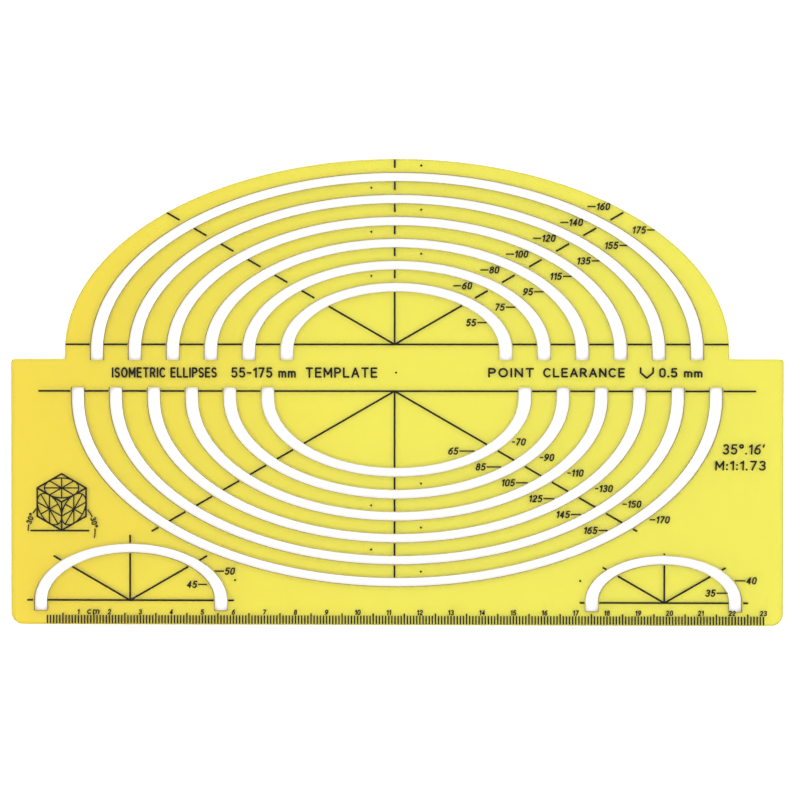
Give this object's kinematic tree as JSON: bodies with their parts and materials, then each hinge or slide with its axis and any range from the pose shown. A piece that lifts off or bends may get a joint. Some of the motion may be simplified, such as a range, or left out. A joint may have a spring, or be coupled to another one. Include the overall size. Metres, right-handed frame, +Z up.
{
  "type": "isometric ellipse template",
  "caption": "Flat transparent yellow drawing template with nested half-ellipse pencil slots, a domed top, printed isometric axes and a centimetre ruler edge.",
  "frame": {"origin": "centre of the bounding box, on the underside that lies on the paper", "axes": "+X along the ruler edge from its zero, +Y from the ruler edge to the top of the dome, +Z up out of the printed face"},
  "size_m": [0.248, 0.1496, 0.0016],
  "materials": {
    "plastic": "transparent amber yellow, moulded gloss",
    "ink": "matte black screen print"
  },
  "bodies": {
    "root": {"centre_bar": "plastic", "cube_sign": "ink", "left_arc_core": "plastic", "left_arc_fan": "ink", "left_field_inner": "plastic", "left_field_outer": "plastic", "lower_axis_left_1": "ink", "lower_axis_left_2": "ink", "lower_axis_left_3": "ink", "lower_axis_left_4": "ink", "lower_axis_left_5": "ink", "lower_axis_left_6": "ink", "lower_axis_right_1": "ink", "lower_axis_right_2": "ink", "lower_axis_right_3": "ink", "lower_axis_right_4": "ink", "lower_axis_right_5": "ink", "lower_axis_right_6": "ink", "lower_core": "plastic", "lower_fan": "ink", "lower_strip_1": "plastic", "lower_strip_2_left": "plastic", "lower_strip_2_right": "plastic", "lower_strip_3_left": "plastic", "lower_strip_3_right": "plastic", "lower_strip_4_left": "plastic", "lower_strip_4_right": "plastic", "lower_strip_5_left": "plastic", "lower_strip_5_right": "plastic", "right_arc_core": "plastic", "right_arc_fan": "ink", "right_field_inner": "plastic", "right_field_outer": "plastic", "ruler_band": "plastic", "ruler_scale": "ink", "upper_axis_left_1": "ink", "upper_axis_left_2": "ink", "upper_axis_left_3": "ink", "upper_axis_left_4": "ink", "upper_axis_left_5": "ink", "upper_axis_left_6": "ink", "upper_axis_right_1": "ink", "upper_axis_right_2": "ink", "upper_axis_right_3": "ink", "upper_axis_right_4": "ink", "upper_axis_right_5": "ink", "upper_axis_right_6": "ink", "upper_core": "plastic", "upper_fan": "ink", "upper_strip_1": "plastic", "upper_strip_2_left": "plastic", "upper_strip_2_right": "plastic", "upper_strip_3_left": "plastic", "upper_strip_3_right": "plastic", "upper_strip_4_left": "plastic", "upper_strip_4_right": "plastic", "upper_strip_5_left": "plastic", "upper_strip_5_right": "plastic", "upper_strip_6_left": "plastic", "upper_strip_6_right": "plastic"}
  },
  "joints": []
}
